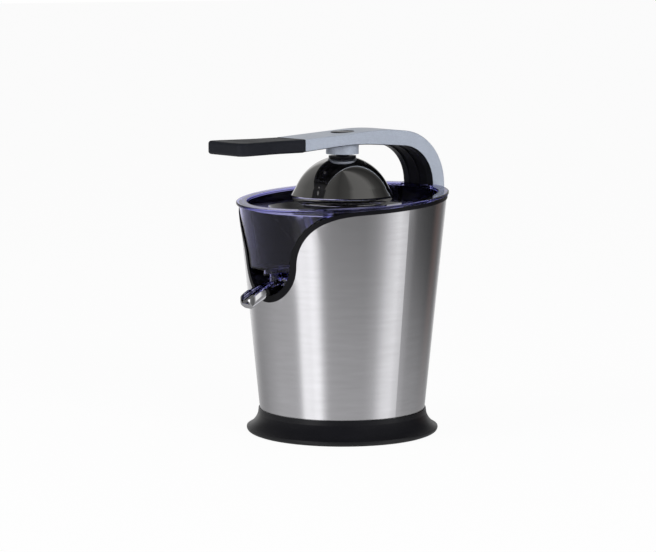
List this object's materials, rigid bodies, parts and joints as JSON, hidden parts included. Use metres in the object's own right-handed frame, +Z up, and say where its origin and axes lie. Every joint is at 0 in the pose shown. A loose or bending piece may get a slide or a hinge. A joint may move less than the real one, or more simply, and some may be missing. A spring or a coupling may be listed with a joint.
{
  "type": "citrus juicer",
  "caption": "Electric citrus juicer with a lever arm: tapered steel body on a flared base, clear bowl with strainer and reamer, tipping spout, tilting press dome and geared motor.",
  "frame": {"origin": "centre of the foot ring's underside, on the drive shaft's axis", "axes": "+Z up along the drive shaft, -Y towards the spout and the grip, +X to the object's left side"},
  "size_m": [0.202, 0.252, 0.287],
  "materials": {
    "base_black": "satin",
    "foot_rubber": "matt",
    "housing_black": "matt",
    "screw_steel": "zinc plated",
    "shell_steel": "brushed round the body",
    "trim_black": "satin",
    "bush_brass": "turned",
    "sheet_steel": "plated sheet",
    "gear_nylon": "moulded",
    "core_iron": "stacked sheet",
    "bowl_clear": "clear with a blue tint",
    "reamer_black": "gloss",
    "spout_polished": "polished",
    "dome_polished": "polished",
    "arm_silver": "silver metallic paint",
    "liner_black": "matt",
    "grip_dark": "matt, soft touch",
    "button_black": "gloss"
  },
  "bodies": {
    "housing": {"base_skirt": "base_black", "foot_ring": "foot_rubber", "bottom_plate": "housing_black", "base_screws": "screw_steel", "cord_gland": "foot_rubber", "steel_shell": "shell_steel", "edge_trim": "trim_black", "inner_housing": "housing_black", "hinge_bracket": "trim_black", "bracket_screws": "screw_steel", "hinge_bushes": "bush_brass", "gear_plate": "sheet_steel", "plate_screws": "screw_steel", "drive_screws": "screw_steel", "compound_axle": "screw_steel", "motor_can": "sheet_steel", "motor_end": "housing_black", "motor_stator": "core_iron", "motor_bushes": "bush_brass", "upper_bush": "bush_brass", "shaft_seal": "foot_rubber", "lower_bush": "bush_brass", "shaft_spring": "screw_steel", "switch_bracket": "sheet_steel", "micro_switch": "housing_black", "juice_bowl": "bowl_clear", "strainer": "shell_steel", "spout_pin": "screw_steel"},
    "press": {"thrust_cup": "gear_nylon"},
    "spindle": {"drive_shaft": "shell_steel", "output_gear": "gear_nylon", "reamer": "reamer_black"},
    "compound": {"compound_gear": "gear_nylon"},
    "rotor": {"motor_rotor": "core_iron", "motor_pinion": "bush_brass"},
    "plunger": {"switch_plunger": "button_black"},
    "spout": {"spout": "spout_polished"},
    "lever": {"lever_arm": "arm_silver", "lever_liner": "liner_black", "liner_screws": "screw_steel", "grip": "grip_dark", "grip_screws": "screw_steel", "hinge_pin": "screw_steel", "dome_socket": "arm_silver", "dome_pin": "screw_steel", "button_spring": "screw_steel"},
    "dome": {"dome_stem": "button_black", "press_dome": "dome_polished", "dome_nut": "screw_steel"},
    "button": {"release_button": "button_black"}
  },
  "joints": [
    {"name": "lever_hinge", "type": "hinge", "parent": "housing", "child": "lever", "pos_m": [0, 0.103, 0.208], "axis": [-1, 0, 0], "range_deg": [0, 80]},
    {"name": "dome_tilt", "type": "hinge", "parent": "lever", "child": "dome", "pos_m": [0, 0, 0.27], "axis": [1, 0, 0], "range_deg": [-4, 4]},
    {"name": "button_press", "type": "slide", "parent": "lever", "child": "button", "axis": [0, 0, -1], "range_m": [0, 0.002], "stiffness_N_per_m": 300, "springref_m": -0.002, "deforming": ["button_spring"]},
    {"name": "spout_lift", "type": "hinge", "parent": "housing", "child": "spout", "pos_m": [0, -0.067, 0.1495], "axis": [-1, 0, 0], "range_deg": [0, 18]},
    {"name": "shaft_press", "type": "slide", "parent": "housing", "child": "press", "axis": [0, 0, -1], "range_m": [0, 0.002], "stiffness_N_per_m": 2000, "springref_m": -0.004, "deforming": ["shaft_spring"]},
    {"name": "reamer_spin", "type": "hinge", "parent": "press", "child": "spindle", "pos_m": [0, 0, 0.104], "axis": [0, 0, 1], "continuous": true},
    {"name": "compound_spin", "type": "hinge", "parent": "housing", "child": "compound", "pos_m": [0.02909, 0.03268, 0.118], "axis": [0, 0, 1], "continuous": true},
    {"name": "motor_spin", "type": "hinge", "parent": "housing", "child": "rotor", "pos_m": [0, 0.04, 0.118], "axis": [0, 0, 1], "continuous": true},
    {"name": "plunger_slide", "type": "slide", "parent": "housing", "child": "plunger", "axis": [0, 0, -1], "range_m": [0, 0.002]}
  ],
  "couplings": [
    {"joint": "compound_spin", "follows": "motor_spin", "ratio": -0.25},
    {"joint": "reamer_spin", "follows": "motor_spin", "ratio": 0.0625},
    {"joint": "plunger_slide", "follows": "shaft_press", "ratio": 1}
  ]
}
